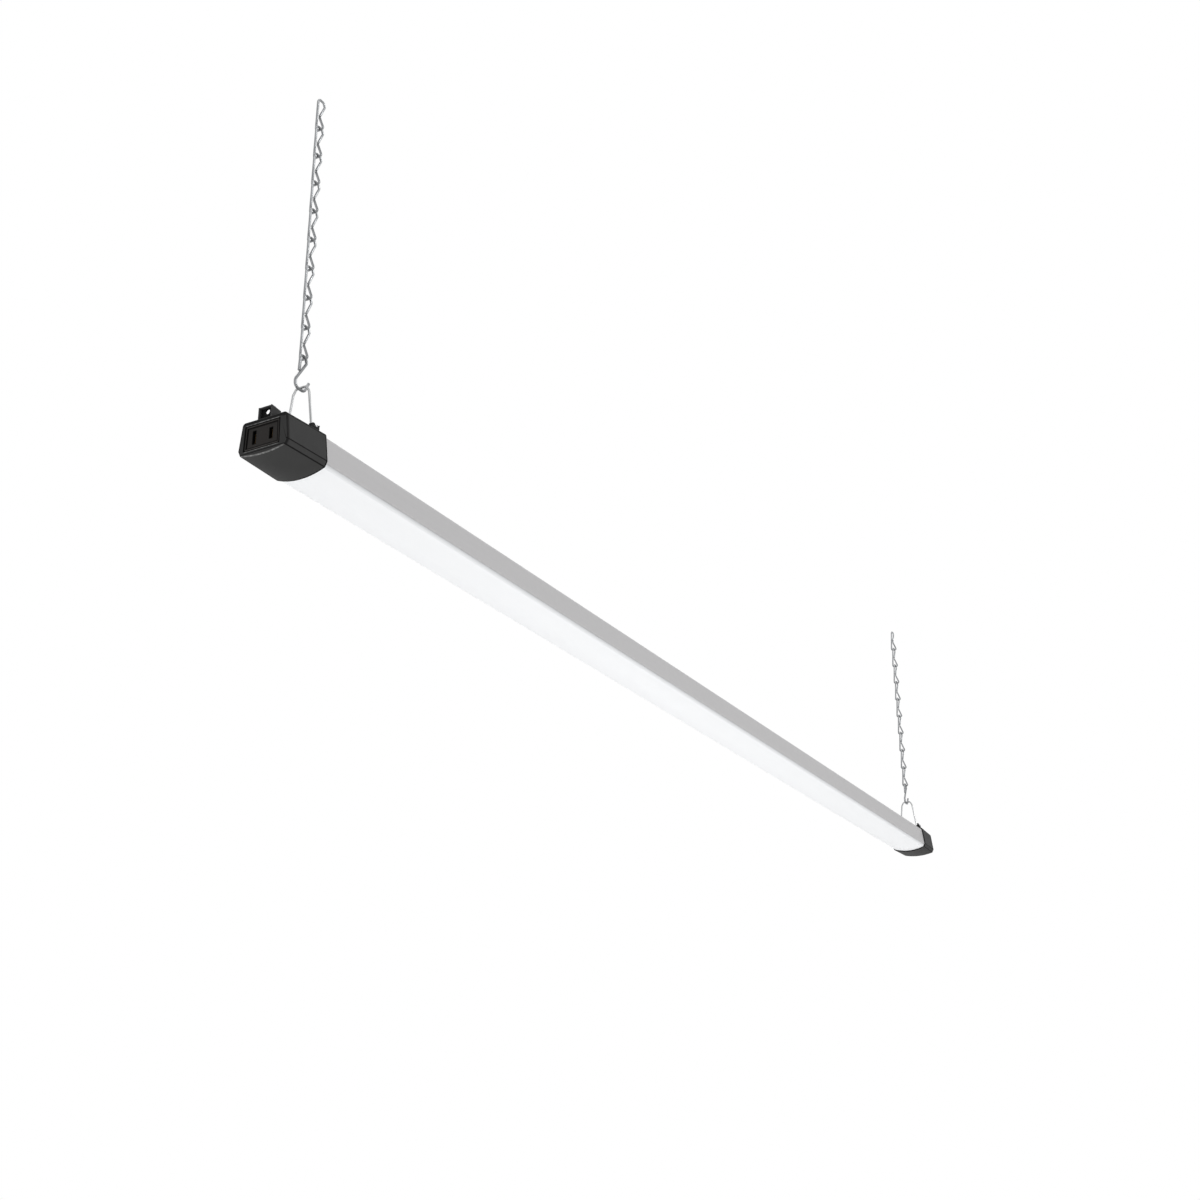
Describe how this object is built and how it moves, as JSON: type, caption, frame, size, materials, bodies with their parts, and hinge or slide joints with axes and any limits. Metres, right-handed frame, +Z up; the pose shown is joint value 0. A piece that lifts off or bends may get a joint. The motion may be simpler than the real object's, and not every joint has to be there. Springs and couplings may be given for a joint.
{
  "type": "hanging shop light",
  "caption": "Slim linkable LED shop light with a milky crowned lens, black end caps, an outlet in one end, wire bails, S-hooks and hanging chains.",
  "frame": {"origin": "the point inside the top of the near chain's first link where a ceiling hook bears, above the outlet end", "axes": "+X along the light from its outlet end to its cord end, +Z up towards the ceiling, +Y across the light, right-handed"},
  "size_m": [1.219, 0.0404, 0.2824],
  "materials": {
    "housing_metal": "satin, pale silver grey",
    "lens": "milky, light-scattering",
    "black_plastic": "fine satin",
    "outlet_plastic": "satin",
    "contact_brass": "bright",
    "black_rubber": "matt",
    "zinc": "bright zinc plated",
    "bail_wire": "bright zinc plated",
    "board_white": "white solder mask",
    "chip_yellow": "phosphor",
    "tray_sheet": "insulating sheet",
    "board_green": "green solder mask",
    "fuse_body": "sleeve over ceramic",
    "blue_disc": "epoxy",
    "choke_ring": "enamelled wire",
    "filter_box": "moulded box",
    "capacitor_sleeve": "shrink sleeve",
    "ferrite": "pressed ferrite",
    "coil_tape": "insulating tape",
    "terminal_white": "moulded",
    "wire_black": "insulation",
    "wire_white": "insulation",
    "wire_red": "insulation"
  },
  "bodies": {
    "ceiling_links": {"near_link_1": "zinc", "far_link_1": "zinc"},
    "second_links": {"near_link_2": "zinc", "far_link_2": "zinc"},
    "near_chain": {"near_link_3": "zinc", "near_link_4": "zinc", "near_link_5": "zinc", "near_link_6": "zinc", "near_link_7": "zinc", "near_link_8": "zinc", "near_link_9": "zinc"},
    "far_chain": {"far_link_3": "zinc", "far_link_4": "zinc", "far_link_5": "zinc", "far_link_6": "zinc", "far_link_7": "zinc", "far_link_8": "zinc", "far_link_9": "zinc"},
    "near_hook": {"near_hook": "zinc"},
    "far_hook": {"far_hook": "zinc"},
    "fixture": {"housing": "housing_metal", "diffuser": "lens", "near_end_cap": "black_plastic", "far_end_cap": "black_plastic", "outlet_insert": "outlet_plastic", "outlet_contact_live": "contact_brass", "outlet_contact_neutral": "contact_brass", "cord_bushing": "black_rubber", "near_cap_screws": "zinc", "far_cap_screws": "zinc", "near_bail": "bail_wire", "far_bail": "bail_wire", "light_board": "board_white", "light_chips": "chip_yellow", "board_screws": "zinc", "wire_grommet": "black_rubber", "driver_tray": "tray_sheet", "driver_board": "board_green", "driver_fuse": "fuse_body", "driver_varistor": "blue_disc", "driver_choke": "choke_ring", "driver_filter_capacitor": "filter_box", "driver_bulk_capacitor": "capacitor_sleeve", "driver_transformer_core": "ferrite", "driver_transformer_coil": "coil_tape", "driver_output_capacitor": "capacitor_sleeve", "terminal_block": "terminal_white", "terminal_screws": "zinc", "feed_wire_live": "wire_black", "feed_wire_neutral": "wire_white", "driver_wire_live": "wire_black", "driver_wire_neutral": "wire_white", "board_wire_positive": "wire_red", "board_wire_negative": "wire_black"}
  },
  "joints": [
    {"name": "swing_across", "type": "hinge", "parent": "ceiling_links", "child": "second_links", "pos_m": [0, 0, -0.02016], "axis": [1, 0, 0], "range_deg": [-20, 20]},
    {"name": "swing_along", "type": "hinge", "parent": "second_links", "child": "near_chain", "pos_m": [0, 0, -0.04505], "axis": [0, 1, 0], "range_deg": [-20, 20]},
    {"name": "far_chain_swing", "type": "hinge", "parent": "second_links", "child": "far_chain", "pos_m": [1.156, 0, -0.04505], "axis": [0, 1, 0], "range_deg": [-20, 20]},
    {"name": "near_hook_pivot", "type": "hinge", "parent": "near_chain", "child": "near_hook", "pos_m": [0, 0, -0.19905], "axis": [0, 1, 0], "range_deg": [-20, 20]},
    {"name": "far_hook_pivot", "type": "hinge", "parent": "far_chain", "child": "far_hook", "pos_m": [1.156, 0, -0.19905], "axis": [0, 1, 0], "range_deg": [-20, 20]},
    {"name": "fixture_roll", "type": "hinge", "parent": "near_hook", "child": "fixture", "pos_m": [0, 0, -0.2212], "axis": [1, 0, 0], "range_deg": [-25, 25]}
  ],
  "couplings": [
    {"joint": "far_chain_swing", "follows": "swing_along", "ratio": 1},
    {"joint": "near_hook_pivot", "follows": "swing_along", "ratio": -1},
    {"joint": "far_hook_pivot", "follows": "swing_along", "ratio": -1}
  ]
}
